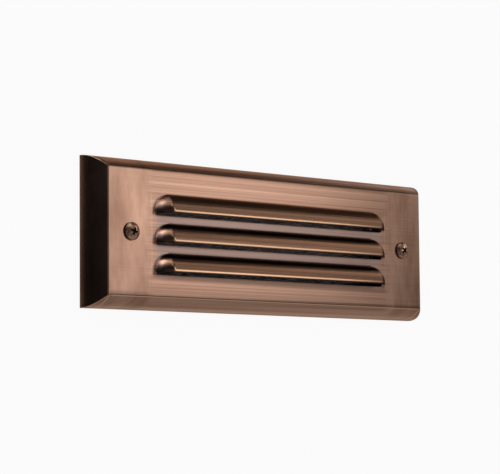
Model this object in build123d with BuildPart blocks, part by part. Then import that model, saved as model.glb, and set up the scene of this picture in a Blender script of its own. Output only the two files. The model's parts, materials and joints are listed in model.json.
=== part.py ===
"""Low-voltage step light for one brick's space: louvred cover, recess box, lamp and cable entry.

Millimetres. The origin is the middle of the wall plane, +X runs along the light, +Y goes into
the wall and +Z is up, so the cover stands out towards -Y.
"""

from build123d import *
import math
import os

os.makedirs("parts", exist_ok=True)

# ---- cover -------------------------------------------------------------------------------
COVER_WIDTH = 235.0
COVER_HEIGHT = 76.2
COVER_DEPTH = 15.5
COVER_SHEET = 1.5
RIM_STRAIGHT = 1.0
BORDER_RADIUS = 20.8
FACE_EDGE_R = 1.5
COVER_HOLE_R = 2.3

# pressed hoods, open downwards
HOOD_BOTTOMS = [10.2, -4.8, -19.8]
HOOD_HEIGHT = 9.8
HOOD_STAND_OUT = 7.0
HOOD_BASE_HALF = 82.3
HOOD_LIP_HALF = 75.0
HOOD_SHOULDER = 10.0
HOOD_BULGE = 1.3
HOOD_FRONT_R = 0.4
HOOD_FRONT_R_MORE = 3.4
HOOD_SHEET = 1.2
HOOD_ROOT = 0.9
HOOD_TOP_THICK = 0.3
HOOD_STEPS = 7
SLOT_DROP = 1.0

# ---- cover screws ------------------------------------------------------------------------
SCREW_X = 97.0
SCREW_R = 1.95
SCREW_LENGTH = 12.0
SCREW_HEAD_R = 4.55
SCREW_HEAD_HIGH = 2.3
SCREW_TIP = 1.6
SCREW_WASHER_R = 4.0
SCREW_WASHER_BORE_R = 2.05
SCREW_WASHER_THICK = 0.5
CROSS_SPAN = 4.8
CROSS_WIDTH = 0.95
CROSS_DEPTH = 1.4
CROSS_TAPER = 8
DOME_SHARE = 0.8
LEFT_CROSS_TURN = 18.0
RIGHT_CROSS_TURN = 45.0

INSERT_R = 3.0
INSERT_BORE_R = 2.0
INSERT_LENGTH = 8.0
POST_R = 4.5
POST_BORE_R = 2.1
POST_BORE_DEPTH = 13.5

# ---- recess box --------------------------------------------------------------------------
GASKET_THICK = 2.0
FLANGE_WIDTH = 222.0
FLANGE_HEIGHT = 67.0
FLANGE_THICK = 2.5
FLANGE_FRONT = -(GASKET_THICK + FLANGE_THICK)
FIXING_X = 106.3
FIXING_Z = 22.0
FIXING_HOLE_R = 2.25

STEP_WIDTH = 203.2
STEP_HEIGHT = 57.2
STEP_BACK = 9.0
CHAMBER_WIDTH = 170.0
CHAMBER_HEIGHT = 41.0
WALL = 2.6
BOX_BACK = 62.0
DRAFT = 1.5
KEY_RIBS = [24.0, 44.0]
KEY_RIB_HIGH = 3.5
KEY_RIB_THICK = 2.0

SEAT_WIDTH = 197.0
SEAT_HEIGHT = 52.4
SEAT_DEPTH = 1.5
POCKET_WIDTH = 178.0
POCKET_HEIGHT = 50.0
LEDGE = 2.5
END_POCKET_IN = 91.0
END_POCKET_OUT = 99.0
END_POCKET_FLOOR = 6.5

# ---- lens --------------------------------------------------------------------------------
LENS_WIDTH = 177.0
LENS_HEIGHT = 49.0
LENS_THICK = 4.0
LENS_GASKET_THICK = 1.5
FRAME_SHEET = 1.2
FRAME_WINDOW_WIDTH = 168.0
FRAME_WINDOW_HEIGHT = 40.0
FRAME_LIP_HIGH = 1.8
FRAME_SCREW_X = 94.0
FRAME_SCREW_Z = 19.0
FRAME_BOSS_R = 3.4
FRAME_EAR_WIDE = 10.0
FRAME_EAR_HIGH = 12.4

# small screws, their clearance holes and the pilot holes they cut into
SMALL_SCREW_R = 1.25
SMALL_SCREW_LENGTH = 8.0
SMALL_HEAD_R = 2.6
SMALL_HEAD_HIGH = 1.8
SMALL_HEAD_CHAMFER = 0.6
SMALL_CLEAR_R = 1.55
PILOT_R = 1.3
PILOT_DEPTH = 9.0

# ---- reflector and lamp ------------------------------------------------------------------
REFLECTOR_HALF = 78.0
REFLECTOR_FRONT = 5.0
REFLECTOR_BACK = 38.0
REFLECTOR_MOUTH_HALF = 19.6
REFLECTOR_BACK_HALF = 13.5
REFLECTOR_BEND_R = 11.0
REFLECTOR_SHEET = 0.8
REFLECTOR_SCREW_X = 73.0
REFLECTOR_BOSS_R = 3.2
REFLECTOR_SLOT_X = 35.5
REFLECTOR_SLOT_WIDE = 17.0
REFLECTOR_SLOT_HIGH = 20.0

LAMP_DEPTH = 24.0
BULB_R = 7.75
BULB_GLASS = 0.7
BULB_END_GLASS = 1.6
BULB_TIP = -18.0
BULB_NECK = 4.0
WEDGE_START = 12.0
WEDGE_END = 19.0
WEDGE_WIDE = 12.2
WEDGE_THICK = 3.2
WEDGE_CORNER = 0.8

SOCKET_FRONT = 12.2
SOCKET_BACK = 30.0
SOCKET_DEEP = 16.0
SOCKET_TALL = 18.0
BRACKET_SHEET = 1.2
BRACKET_FOOT_END = 13.0
BRACKET_BACK = 52.0
BRACKET_SCREW_X = 20.0
BRACKET_SCREW_Z = 5.0
BRACKET_BOSS_R = 3.2
BRACKET_PILOT_DEPTH = 7.5
RIVET_Z = 6.9
RIVET_R = 1.1
RIVET_HEAD_R = 1.9
RIVET_HEAD_HIGH = 0.8
RIVET_HOLD = 4.5

# ---- terminal block ----------------------------------------------------------------------
TERMINAL_START = 47.0
TERMINAL_END = 67.0
TERMINAL_BACK = 56.0
TERMINAL_DEEP = 12.5
TERMINAL_POLE_Z = 6.2
TERMINAL_AXIS = 48.5
TERMINAL_BOSS_R = 3.5
TERMINAL_PILOT_DEPTH = 4.6
TERMINAL_SCREW_LENGTH = 10.0
POLE_WIDE = 8.4
CLAMP_R = 2.6
CLAMP_BORE_R = 1.7
CLAMP_SCREW_XS = [52.5, 61.5]
CLAMP_SCREW_R = 1.15
CLAMP_SCREW_LENGTH = 3.4

LEAD_R = 1.1
WIRE_R = 0.6

# ---- cable gland -------------------------------------------------------------------------
GLAND_X = -45.0
GLAND_THREAD_R = 8.0
GLAND_BORE_R = 4.8
GLAND_HEX = 20.0
GLAND_WASHER_THICK = 1.0
SEAL_R = 6.25
SEAL_BORE_R = 3.5
GLAND_BARREL_R = 7.4
GLAND_WASHER_R = 10.2
GLAND_INSIDE = 6.0
GLAND_NUT_TAPER = 25


def at_depth(depth):
    """Plane parallel to the wall, this far behind the wall plane, facing the viewer."""
    return Plane.XZ.offset(-depth)


def across(x):
    """Plane square to X at this place."""
    return Plane.YZ.offset(x)


def bordered_block(inset):
    """Solid bounded by the cover's curved border, set in by inset: two profiles crossed."""
    front = inset - COVER_DEPTH
    radius = BORDER_RADIUS - inset
    turn = math.degrees(math.asin((-RIM_STRAIGHT - front) / radius))
    half_width = COVER_WIDTH / 2 - inset
    half_height = COVER_HEIGHT / 2 - inset
    with BuildPart() as block:
        with BuildSketch(Plane.XY.offset(-COVER_HEIGHT / 2)):
            with BuildLine():
                rim = Line((half_width, 0), (half_width, -RIM_STRAIGHT))
                border = JernArc(start=rim @ 1, tangent=(0, -1), radius=radius, arc_size=-turn)
                Polyline(border @ 1, (0, front), (0, 0), (half_width, 0))
            make_face()
            mirror(about=Plane.YZ)
        extrude(amount=COVER_HEIGHT)
        with BuildSketch(Plane.YZ.offset(-COVER_WIDTH / 2)):
            with BuildLine():
                rim = Line((0, half_height), (-RIM_STRAIGHT, half_height))
                border = JernArc(start=rim @ 1, tangent=(-1, 0), radius=radius, arc_size=turn)
                Polyline(border @ 1, (front, 0), (0, 0), (0, half_height))
            make_face()
            mirror(about=Plane.XZ)
        extrude(amount=COVER_WIDTH, mode=Mode.INTERSECT)
    return block.part


def hood_block(bottom, inset, foot, drop):
    """One hood as a solid: bulging trapezoids stacked upwards that shrink along a quarter ellipse.

    foot is how far it reaches behind the face, and drop how far it goes on below its bottom.
    """
    root = HOOD_ROOT - COVER_DEPTH
    back = foot - COVER_DEPTH
    full = HOOD_STAND_OUT + HOOD_ROOT - inset
    with BuildPart() as blister:
        for step in range(HOOD_STEPS):
            angle = math.radians(90 * step / (HOOD_STEPS - 1))
            out = HOOD_TOP_THICK + (full - HOOD_TOP_THICK) * math.cos(angle)
            base = HOOD_BASE_HALF - inset - HOOD_SHOULDER * (1 - math.cos(angle))
            lip = base - (HOOD_BASE_HALF - HOOD_LIP_HALF) * out / full
            bulge = HOOD_BULGE * out / full
            level = bottom + (HOOD_HEIGHT - inset) * math.sin(angle)
            with BuildSketch(Plane.XY.offset(level)):
                with BuildLine():
                    Polyline((-base, root), (-base, back), (base, back), (base, root))
                    SagittaArc((base, root), (lip, root - out), bulge)
                    Line((lip, root - out), (-lip, root - out))
                    SagittaArc((-lip, root - out), (-base, root), bulge)
                section = make_face()
                corner_r = HOOD_FRONT_R + HOOD_FRONT_R_MORE * math.sin(2 * angle)
                fillet(section.vertices().group_by(Axis.Y)[0], corner_r)
        loft()
        if drop:
            extrude(blister.faces().sort_by(Axis.Z)[0], amount=drop)
    return blister.part


def cover_screw_block(cross_turn):
    """Domed cover screw along Y, seated at the origin, its cross recess turned by this angle."""
    dome_high = DOME_SHARE * SCREW_HEAD_HIGH
    dome_r = (dome_high**2 + SCREW_HEAD_R**2) / (2 * dome_high)
    dome_turn = math.degrees(math.asin(SCREW_HEAD_R / dome_r))
    with BuildPart() as screw:
        with BuildSketch(Plane.XY):
            with BuildLine():
                dome = JernArc((0, -SCREW_HEAD_HIGH), (1, 0), radius=dome_r, arc_size=dome_turn)
                Polyline(
                    dome @ 1,
                    (SCREW_HEAD_R, 0),
                    (SCREW_R, 0),
                    (SCREW_R, SCREW_LENGTH - SCREW_TIP),
                    (SCREW_R - SCREW_TIP / 2, SCREW_LENGTH),
                    (0, SCREW_LENGTH),
                    (0, -SCREW_HEAD_HIGH),
                )
            make_face()
        revolve(axis=Axis.Y)
        with BuildSketch(Plane.XZ.offset(SCREW_HEAD_HIGH)):
            for turn in (cross_turn, cross_turn + 90):
                Rectangle(CROSS_SPAN, CROSS_WIDTH, rotation=turn)
        extrude(amount=-CROSS_DEPTH, taper=CROSS_TAPER, mode=Mode.SUBTRACT)
    return screw.part


def small_screw(length=SMALL_SCREW_LENGTH):
    """Chamfered pan-head screw along Y, seated at the origin, its head towards -Y."""
    edge = SMALL_HEAD_CHAMFER
    with BuildPart() as screw:
        with BuildSketch(Plane.XY):
            with BuildLine():
                Polyline(
                    (0, -SMALL_HEAD_HIGH),
                    (SMALL_HEAD_R - edge, -SMALL_HEAD_HIGH),
                    (SMALL_HEAD_R, edge - SMALL_HEAD_HIGH),
                    (SMALL_HEAD_R, 0),
                    (SMALL_SCREW_R, 0),
                    (SMALL_SCREW_R, length),
                    (0, length),
                    close=True,
                )
            make_face()
        revolve(axis=Axis.Y)
    return screw.part


def tub_block(width, height, radius, front, back):
    """Rounded box between two depths, narrower at the back by the moulding draft."""
    narrow = 2 * (back - front) * math.tan(math.radians(DRAFT))
    with BuildPart() as tub:
        with BuildSketch(at_depth(front)):
            RectangleRounded(width, height, radius)
        with BuildSketch(at_depth(back)):
            RectangleRounded(width - narrow, height - narrow, radius)
        loft()
    return tub.part


def rounds(places, radius, front, depth, mode=Mode.ADD):
    """Round bosses or holes at these X, Z places, from front on into the wall by depth."""
    with BuildSketch(at_depth(front)) as circles:
        with Locations(*places):
            Circle(radius)
    extrude(circles.sketch, amount=-depth, mode=mode)


def pair(x):
    """Two places on the light's long axis, this far to each side."""
    return [(-x, 0), (x, 0)]


def corners(x, z):
    """Four places, one in each corner."""
    return [(-x, -z), (-x, z), (x, -z), (x, z)]


# ---- louvred cover: crossed border profiles, hollowed, with three open hoods --------------
with BuildPart() as louvre_cover:
    add(bordered_block(0))
    fillet(louvre_cover.faces().sort_by(Axis.Y)[0].edges(), FACE_EDGE_R)
    add(bordered_block(COVER_SHEET), mode=Mode.SUBTRACT)
    for bottom in HOOD_BOTTOMS:
        add(hood_block(bottom, 0, COVER_SHEET, 0))
    for bottom in HOOD_BOTTOMS:
        add(hood_block(bottom, HOOD_SHEET, 2 * COVER_SHEET, SLOT_DROP), mode=Mode.SUBTRACT)
    rounds(pair(SCREW_X), COVER_HOLE_R, -COVER_DEPTH, 2 * COVER_SHEET, Mode.SUBTRACT)
louvre_cover.part.label = "louvre_cover"
export_step(louvre_cover.part, "parts/louvre_cover.step")

# ---- cover screws, their washers and the inserts they turn in -----------------------------
SCREW_SEAT = -(COVER_DEPTH + SCREW_WASHER_THICK)
POST_TOP = -(COVER_DEPTH - COVER_SHEET)

for side, x, cross_turn in (
    ("left", -SCREW_X, LEFT_CROSS_TURN),
    ("right", SCREW_X, RIGHT_CROSS_TURN),
):
    with BuildPart() as cover_screw:
        with Locations((x, SCREW_SEAT, 0)):
            add(cover_screw_block(cross_turn))
    cover_screw.part.label = "cover_screw_" + side
    export_step(cover_screw.part, "parts/cover_screw_" + side + ".step")

    with BuildPart() as screw_washer:
        with BuildSketch(at_depth(SCREW_SEAT)):
            with Locations((x, 0)):
                Circle(SCREW_WASHER_R)
                Circle(SCREW_WASHER_BORE_R, mode=Mode.SUBTRACT)
        extrude(amount=-SCREW_WASHER_THICK)
    screw_washer.part.label = "screw_washer_" + side
    export_step(screw_washer.part, "parts/screw_washer_" + side + ".step")

    with BuildPart() as threaded_insert:
        with BuildSketch(at_depth(POST_TOP)):
            with Locations((x, 0)):
                Circle(INSERT_R)
                Circle(INSERT_BORE_R, mode=Mode.SUBTRACT)
        extrude(amount=-INSERT_LENGTH)
    threaded_insert.part.label = "threaded_insert_" + side
    export_step(threaded_insert.part, "parts/threaded_insert_" + side + ".step")

# ---- wall gasket -------------------------------------------------------------------------
with BuildPart() as wall_gasket:
    with BuildSketch(at_depth(0)):
        RectangleRounded(FLANGE_WIDTH, FLANGE_HEIGHT, 3)
        RectangleRounded(STEP_WIDTH + 1.2, STEP_HEIGHT + 1.2, 4, mode=Mode.SUBTRACT)
        with GridLocations(2 * FIXING_X, 2 * FIXING_Z, 2, 2):
            Circle(FIXING_HOLE_R + 0.4, mode=Mode.SUBTRACT)
    extrude(amount=GASKET_THICK)
wall_gasket.part.label = "wall_gasket"
export_step(wall_gasket.part, "parts/wall_gasket.step")

# ---- housing: flanged, stepped recess box, moulded in one ---------------------------------
FRAME_SEAT = FLANGE_FRONT + SEAT_DEPTH
REAR_WALL = BOX_BACK - WALL
TUB_WIDTH = CHAMBER_WIDTH + 2 * WALL
TUB_HEIGHT = CHAMBER_HEIGHT + 2 * WALL
END_POCKET_X = (END_POCKET_IN + END_POCKET_OUT) / 2
TERMINAL_MID = (TERMINAL_START + TERMINAL_END) / 2
FRAME_SCREWS = corners(FRAME_SCREW_X, FRAME_SCREW_Z)
BRACKET_SCREWS = [(BRACKET_SCREW_X, -BRACKET_SCREW_Z), (BRACKET_SCREW_X, BRACKET_SCREW_Z)]

with BuildPart() as housing:
    with BuildSketch(at_depth(FLANGE_FRONT)):
        RectangleRounded(FLANGE_WIDTH, FLANGE_HEIGHT, 3)
    extrude(amount=-FLANGE_THICK)
    add(tub_block(STEP_WIDTH, STEP_HEIGHT, 4, FLANGE_FRONT + 1, STEP_BACK))
    add(tub_block(TUB_WIDTH, TUB_HEIGHT, 6, STEP_BACK - 1, BOX_BACK))
    for rib_front in KEY_RIBS:
        with BuildSketch(at_depth(rib_front)):
            RectangleRounded(TUB_WIDTH + KEY_RIB_HIGH, TUB_HEIGHT + KEY_RIB_HIGH, 6)
        extrude(amount=-KEY_RIB_THICK)
    # lens frame seat, lens pocket, end pockets and lamp chamber, all open to the front
    with BuildSketch(at_depth(FLANGE_FRONT)):
        RectangleRounded(SEAT_WIDTH, SEAT_HEIGHT, 2)
    extrude(amount=-SEAT_DEPTH, mode=Mode.SUBTRACT)
    with BuildSketch(at_depth(FLANGE_FRONT)):
        RectangleRounded(POCKET_WIDTH, POCKET_HEIGHT, 2.5)
    extrude(amount=FLANGE_FRONT - LEDGE, mode=Mode.SUBTRACT)
    with BuildSketch(at_depth(FLANGE_FRONT)):
        with Locations(*pair(END_POCKET_X)):
            RectangleRounded(END_POCKET_OUT - END_POCKET_IN, POCKET_HEIGHT, 1.5)
    extrude(amount=FLANGE_FRONT - END_POCKET_FLOOR, mode=Mode.SUBTRACT)
    add(tub_block(CHAMBER_WIDTH, CHAMBER_HEIGHT, 4, LEDGE - 1, REAR_WALL), mode=Mode.SUBTRACT)
    # posts and bosses
    rounds(pair(SCREW_X), POST_R, POST_TOP, STEP_BACK - POST_TOP)
    rounds(FRAME_SCREWS, FRAME_BOSS_R, FRAME_SEAT, STEP_BACK - FRAME_SEAT)
    rounds(BRACKET_SCREWS, BRACKET_BOSS_R, BRACKET_BACK, REAR_WALL - BRACKET_BACK)
    rounds([(TERMINAL_MID, 0)], TERMINAL_BOSS_R, TERMINAL_BACK, REAR_WALL - TERMINAL_BACK)
    rounds(pair(REFLECTOR_SCREW_X), REFLECTOR_BOSS_R, REFLECTOR_BACK, REAR_WALL - REFLECTOR_BACK)
    # blind holes for inserts and screws
    rounds(pair(SCREW_X), INSERT_R, POST_TOP, INSERT_LENGTH, Mode.SUBTRACT)
    rounds(pair(SCREW_X), POST_BORE_R, POST_TOP, POST_BORE_DEPTH, Mode.SUBTRACT)
    rounds(FRAME_SCREWS, PILOT_R, FRAME_SEAT, PILOT_DEPTH, Mode.SUBTRACT)
    rounds(BRACKET_SCREWS, PILOT_R, BRACKET_BACK, BRACKET_PILOT_DEPTH, Mode.SUBTRACT)
    rounds([(TERMINAL_MID, 0)], PILOT_R, TERMINAL_BACK, TERMINAL_PILOT_DEPTH, Mode.SUBTRACT)
    rounds(pair(REFLECTOR_SCREW_X), PILOT_R, REFLECTOR_BACK, PILOT_DEPTH, Mode.SUBTRACT)
    # wall-fixing holes through the flange, and the cable entry through the rear wall
    rounds(corners(FIXING_X, FIXING_Z), FIXING_HOLE_R, FLANGE_FRONT, FLANGE_THICK, Mode.SUBTRACT)
    rounds([(GLAND_X, 0)], GLAND_THREAD_R + 0.2, REAR_WALL, WALL, Mode.SUBTRACT)
housing.part.label = "housing"
export_step(housing.part, "parts/housing.step")

# ---- lens, its gasket, frame and screws ---------------------------------------------------
LENS_BACK = LEDGE - LENS_GASKET_THICK

with BuildPart() as lens_gasket:
    with BuildSketch(at_depth(LEDGE)):
        RectangleRounded(LENS_WIDTH, LENS_HEIGHT, 2)
        RectangleRounded(CHAMBER_WIDTH + 0.6, CHAMBER_HEIGHT + 0.6, 4, mode=Mode.SUBTRACT)
    extrude(amount=LENS_GASKET_THICK)
lens_gasket.part.label = "lens_gasket"
export_step(lens_gasket.part, "parts/lens_gasket.step")

with BuildPart() as lens:
    with BuildSketch(at_depth(LENS_BACK)):
        RectangleRounded(LENS_WIDTH, LENS_HEIGHT, 2)
    extrude(amount=LENS_THICK)
    chamfer(lens.faces().sort_by(Axis.Y)[0].edges(), 0.4)
lens.part.label = "lens"
export_step(lens.part, "parts/lens.step")

with BuildPart() as lens_frame:
    with BuildSketch(at_depth(FRAME_SEAT)) as frame_outline:
        Rectangle(2 * END_POCKET_IN - 1, SEAT_HEIGHT - 0.8)
        with GridLocations(2 * (FRAME_SCREW_X - 1), 2 * FRAME_SCREW_Z, 2, 2):
            Rectangle(FRAME_EAR_WIDE, FRAME_EAR_HIGH)
        fillet(frame_outline.vertices().group_by(Axis.X)[0], 2)
        fillet(frame_outline.vertices().group_by(Axis.X)[-1], 2)
        RectangleRounded(FRAME_WINDOW_WIDTH, FRAME_WINDOW_HEIGHT, 3, mode=Mode.SUBTRACT)
        with Locations(*FRAME_SCREWS):
            Circle(SMALL_CLEAR_R, mode=Mode.SUBTRACT)
    extrude(amount=FRAME_SHEET)
    with BuildSketch(at_depth(FRAME_SEAT - FRAME_SHEET)):
        RectangleRounded(
            FRAME_WINDOW_WIDTH + 2 * FRAME_SHEET, FRAME_WINDOW_HEIGHT + 2 * FRAME_SHEET, 4.2
        )
        RectangleRounded(FRAME_WINDOW_WIDTH, FRAME_WINDOW_HEIGHT, 3, mode=Mode.SUBTRACT)
    extrude(amount=FRAME_LIP_HIGH)
lens_frame.part.label = "lens_frame"
export_step(lens_frame.part, "parts/lens_frame.step")

with BuildPart() as lens_frame_screws:
    for x, z in FRAME_SCREWS:
        with Locations((x, FRAME_SEAT - FRAME_SHEET, z)):
            add(small_screw())
lens_frame_screws.part.label = "lens_frame_screws"
export_step(lens_frame_screws.part, "parts/lens_frame_screws.step")

# ---- reflector: a bent trough with closed ends and a slot for the lamp bracket ------------
with BuildPart() as reflector:
    with BuildSketch(across(-REFLECTOR_HALF)):
        with BuildLine():
            Polyline(
                (REFLECTOR_FRONT, -REFLECTOR_MOUTH_HALF),
                (REFLECTOR_BACK, -REFLECTOR_BACK_HALF),
                (REFLECTOR_BACK, REFLECTOR_BACK_HALF),
                (REFLECTOR_FRONT, REFLECTOR_MOUTH_HALF),
                close=True,
            )
        make_face()
    extrude(amount=2 * REFLECTOR_HALF)
    fillet(reflector.edges().filter_by(Axis.X).group_by(Axis.Y)[-1], REFLECTOR_BEND_R)
    offset(amount=-REFLECTOR_SHEET, openings=reflector.faces().sort_by(Axis.Y)[0])
    with BuildSketch(at_depth(REFLECTOR_BACK)):
        with Locations((REFLECTOR_SLOT_X, 0)):
            RectangleRounded(REFLECTOR_SLOT_WIDE, REFLECTOR_SLOT_HIGH, 2)
    extrude(amount=REFLECTOR_BEND_R, mode=Mode.SUBTRACT)
    rounds(
        pair(REFLECTOR_SCREW_X),
        SMALL_CLEAR_R,
        REFLECTOR_BACK - REFLECTOR_SHEET,
        REFLECTOR_SHEET,
        Mode.SUBTRACT,
    )
reflector.part.label = "reflector"
export_step(reflector.part, "parts/reflector.step")

with BuildPart() as reflector_screws:
    for x, z in pair(REFLECTOR_SCREW_X):
        with Locations((x, REFLECTOR_BACK - REFLECTOR_SHEET, z)):
            add(small_screw())
reflector_screws.part.label = "reflector_screws"
export_step(reflector_screws.part, "parts/reflector_screws.step")

# ---- wedge-base lamp, lying along X -------------------------------------------------------
LAMP_AXIS = Axis((0, LAMP_DEPTH, 0), (1, 0, 0))
DOME_X = BULB_TIP + BULB_R
HOLLOW_R = BULB_R - BULB_GLASS
HOLLOW_START = BULB_TIP + BULB_END_GLASS
HOLLOW_END = BULB_NECK + 3
HOLLOW_END_R = 3.0

with BuildPart() as lamp_bulb:
    # domed tube that runs into a cone, pinched flat from both sides towards the wedge
    with BuildSketch(Plane.XY):
        with BuildLine():
            Line((BULB_TIP, LAMP_DEPTH), (WEDGE_START, LAMP_DEPTH))
            Line((WEDGE_START, LAMP_DEPTH), (WEDGE_START, LAMP_DEPTH + WEDGE_WIDE / 2))
            Line((WEDGE_START, LAMP_DEPTH + WEDGE_WIDE / 2), (BULB_NECK, LAMP_DEPTH + BULB_R))
            Line((BULB_NECK, LAMP_DEPTH + BULB_R), (DOME_X, LAMP_DEPTH + BULB_R))
            RadiusArc((DOME_X, LAMP_DEPTH + BULB_R), (BULB_TIP, LAMP_DEPTH), -BULB_R)
        make_face()
    revolve(axis=LAMP_AXIS)
    with BuildSketch(Plane.XY.offset(-BULB_R)):
        with BuildLine():
            Polyline(
                (BULB_TIP, LAMP_DEPTH),
                (BULB_TIP, LAMP_DEPTH + BULB_R),
                (BULB_NECK, LAMP_DEPTH + BULB_R),
                (WEDGE_START, LAMP_DEPTH + WEDGE_THICK / 2),
                (WEDGE_START, LAMP_DEPTH),
                close=True,
            )
        make_face()
        mirror(about=Plane.XZ.offset(-LAMP_DEPTH))
    extrude(amount=2 * BULB_R, mode=Mode.INTERSECT)
    with BuildSketch(across(WEDGE_START)):
        with Locations((LAMP_DEPTH, 0)):
            RectangleRounded(WEDGE_THICK, WEDGE_WIDE, WEDGE_CORNER)
    extrude(amount=WEDGE_END - WEDGE_START)
    # the hollow round the filament
    with BuildSketch(Plane.XY):
        with BuildLine():
            Polyline(
                (HOLLOW_START, LAMP_DEPTH),
                (HOLLOW_START, LAMP_DEPTH + HOLLOW_END_R),
                (DOME_X, LAMP_DEPTH + HOLLOW_R),
                (BULB_NECK, LAMP_DEPTH + HOLLOW_R),
                (HOLLOW_END, LAMP_DEPTH + HOLLOW_END_R),
                (HOLLOW_END, LAMP_DEPTH),
                close=True,
            )
        make_face()
    revolve(axis=LAMP_AXIS, mode=Mode.SUBTRACT)
lamp_bulb.part.label = "lamp_bulb"
export_step(lamp_bulb.part, "parts/lamp_bulb.step")

FILAMENT_X = -4.0
FILAMENT_HALF = 3.6
SUPPORT_HALF = 1.8
FILAMENT_R = 0.3

with BuildPart() as lamp_filament:
    with BuildLine() as filament_path:
        Polyline(
            (HOLLOW_END, LAMP_DEPTH, -SUPPORT_HALF),
            (FILAMENT_X, LAMP_DEPTH, -FILAMENT_HALF),
            (FILAMENT_X, LAMP_DEPTH, FILAMENT_HALF),
            (HOLLOW_END, LAMP_DEPTH, SUPPORT_HALF),
        )
    with BuildSketch(Plane(origin=filament_path.line @ 0, z_dir=filament_path.line % 0)):
        Circle(FILAMENT_R)
    sweep(transition=Transition.RIGHT)
    split(bisect_by=across(HOLLOW_END), keep=Keep.BOTTOM)
lamp_filament.part.label = "lamp_filament"
export_step(lamp_filament.part, "parts/lamp_filament.step")

CONTACT_WIRE = 0.5
CONTACT_WIRE_WIDE = 1.2
CONTACT_WIRE_Z = 3.4

with BuildPart() as lamp_contact_wires:
    for side in (-1, 1):
        wire_depth = LAMP_DEPTH + side * (WEDGE_THICK + CONTACT_WIRE) / 2
        with BuildSketch(across(WEDGE_START + 1)):
            with Locations((wire_depth, side * CONTACT_WIRE_Z)):
                Rectangle(CONTACT_WIRE, CONTACT_WIRE_WIDE)
        extrude(amount=WEDGE_END - WEDGE_START - 1)
lamp_contact_wires.part.label = "lamp_contact_wires"
export_step(lamp_contact_wires.part, "parts/lamp_contact_wires.step")

# ---- lamp holder, its contacts and bracket ------------------------------------------------
CONTACT_OFF = 2.5
CONTACT_WIDE = 5.0
CONTACT_THICK = 0.5
CONTACT_START = SOCKET_FRONT + 1
CONTACT_END = 26.0
CONTACT_DEPTHS = [LAMP_DEPTH - CONTACT_OFF, LAMP_DEPTH + CONTACT_OFF]
SLOT_DEEP = 6.8
SLOT_TALL = 13.0
SLOT_END = 20.5
WEB_END = 22.5
WIRE_WAY_R = 4.4
RIVETS = [(LAMP_DEPTH, -RIVET_Z), (LAMP_DEPTH, RIVET_Z)]

with BuildPart() as lamp_socket:
    with BuildSketch(across(SOCKET_FRONT)):
        with Locations((LAMP_DEPTH, 0)):
            RectangleRounded(SOCKET_DEEP, SOCKET_TALL, 2.5)
    extrude(amount=SOCKET_BACK - SOCKET_FRONT)
    chamfer(lamp_socket.faces().sort_by(Axis.X)[0].edges(), 0.8)
    with BuildSketch(across(SOCKET_FRONT)):
        with Locations((LAMP_DEPTH, 0)):
            RectangleRounded(SLOT_DEEP, SLOT_TALL, 1)
    extrude(amount=SLOT_END - SOCKET_FRONT, mode=Mode.SUBTRACT)
    with BuildSketch(across(WEB_END)):
        with Locations((LAMP_DEPTH, 0)):
            Circle(WIRE_WAY_R)
    extrude(amount=SOCKET_BACK - WEB_END, mode=Mode.SUBTRACT)
    with BuildSketch(across(SLOT_END)):
        with Locations(*[(depth, 0) for depth in CONTACT_DEPTHS]):
            Rectangle(CONTACT_THICK + 0.1, CONTACT_WIDE + 0.1)
    extrude(amount=WEB_END - SLOT_END, mode=Mode.SUBTRACT)
    with BuildSketch(across(SOCKET_BACK)):
        with Locations(*RIVETS):
            Circle(RIVET_R)
    extrude(amount=-RIVET_HOLD, mode=Mode.SUBTRACT)
lamp_socket.part.label = "lamp_socket"
export_step(lamp_socket.part, "parts/lamp_socket.step")

with BuildPart() as socket_contacts:
    with BuildSketch(across(CONTACT_START)):
        with Locations(*[(depth, 0) for depth in CONTACT_DEPTHS]):
            Rectangle(CONTACT_THICK, CONTACT_WIDE)
    extrude(amount=CONTACT_END - CONTACT_START)
socket_contacts.part.label = "socket_contacts"
export_step(socket_contacts.part, "parts/socket_contacts.step")

ARM_FRONT = LAMP_DEPTH - 9
ARM_BACK_X = SOCKET_BACK + BRACKET_SHEET
FOOT_FRONT = BRACKET_BACK - BRACKET_SHEET
BEND_R = 1.0

with BuildPart() as socket_bracket:
    with BuildSketch(Plane.XY.offset(-SOCKET_TALL / 2)) as bracket_profile:
        with BuildLine():
            Polyline(
                (SOCKET_BACK, ARM_FRONT),
                (ARM_BACK_X, ARM_FRONT),
                (ARM_BACK_X, BRACKET_BACK),
                (BRACKET_FOOT_END, BRACKET_BACK),
                (BRACKET_FOOT_END, FOOT_FRONT),
                (SOCKET_BACK, FOOT_FRONT),
                close=True,
            )
        make_face()
        profile_corners = bracket_profile.vertices()
        fillet(profile_corners.sort_by_distance((SOCKET_BACK, FOOT_FRONT))[0], BEND_R)
        profile_corners = bracket_profile.vertices()
        fillet(profile_corners.sort_by_distance((ARM_BACK_X, BRACKET_BACK))[0], BEND_R + BRACKET_SHEET)
    extrude(amount=SOCKET_TALL)
    with BuildSketch(across(SOCKET_BACK)):
        with Locations((LAMP_DEPTH, 0)):
            Circle(WIRE_WAY_R)
        with Locations(*RIVETS):
            Circle(RIVET_R)
    extrude(amount=BRACKET_SHEET, mode=Mode.SUBTRACT)
    rounds(BRACKET_SCREWS, SMALL_CLEAR_R, FOOT_FRONT, BRACKET_SHEET, Mode.SUBTRACT)
socket_bracket.part.label = "socket_bracket"
export_step(socket_bracket.part, "parts/socket_bracket.step")

with BuildPart() as socket_rivets:
    with BuildSketch(across(SOCKET_BACK - RIVET_HOLD)):
        with Locations(*RIVETS):
            Circle(RIVET_R)
    extrude(amount=RIVET_HOLD + BRACKET_SHEET)
    with BuildSketch(across(ARM_BACK_X)):
        with Locations(*RIVETS):
            Circle(RIVET_HEAD_R)
    extrude(amount=RIVET_HEAD_HIGH, taper=25)
socket_rivets.part.label = "socket_rivets"
export_step(socket_rivets.part, "parts/socket_rivets.step")

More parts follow.
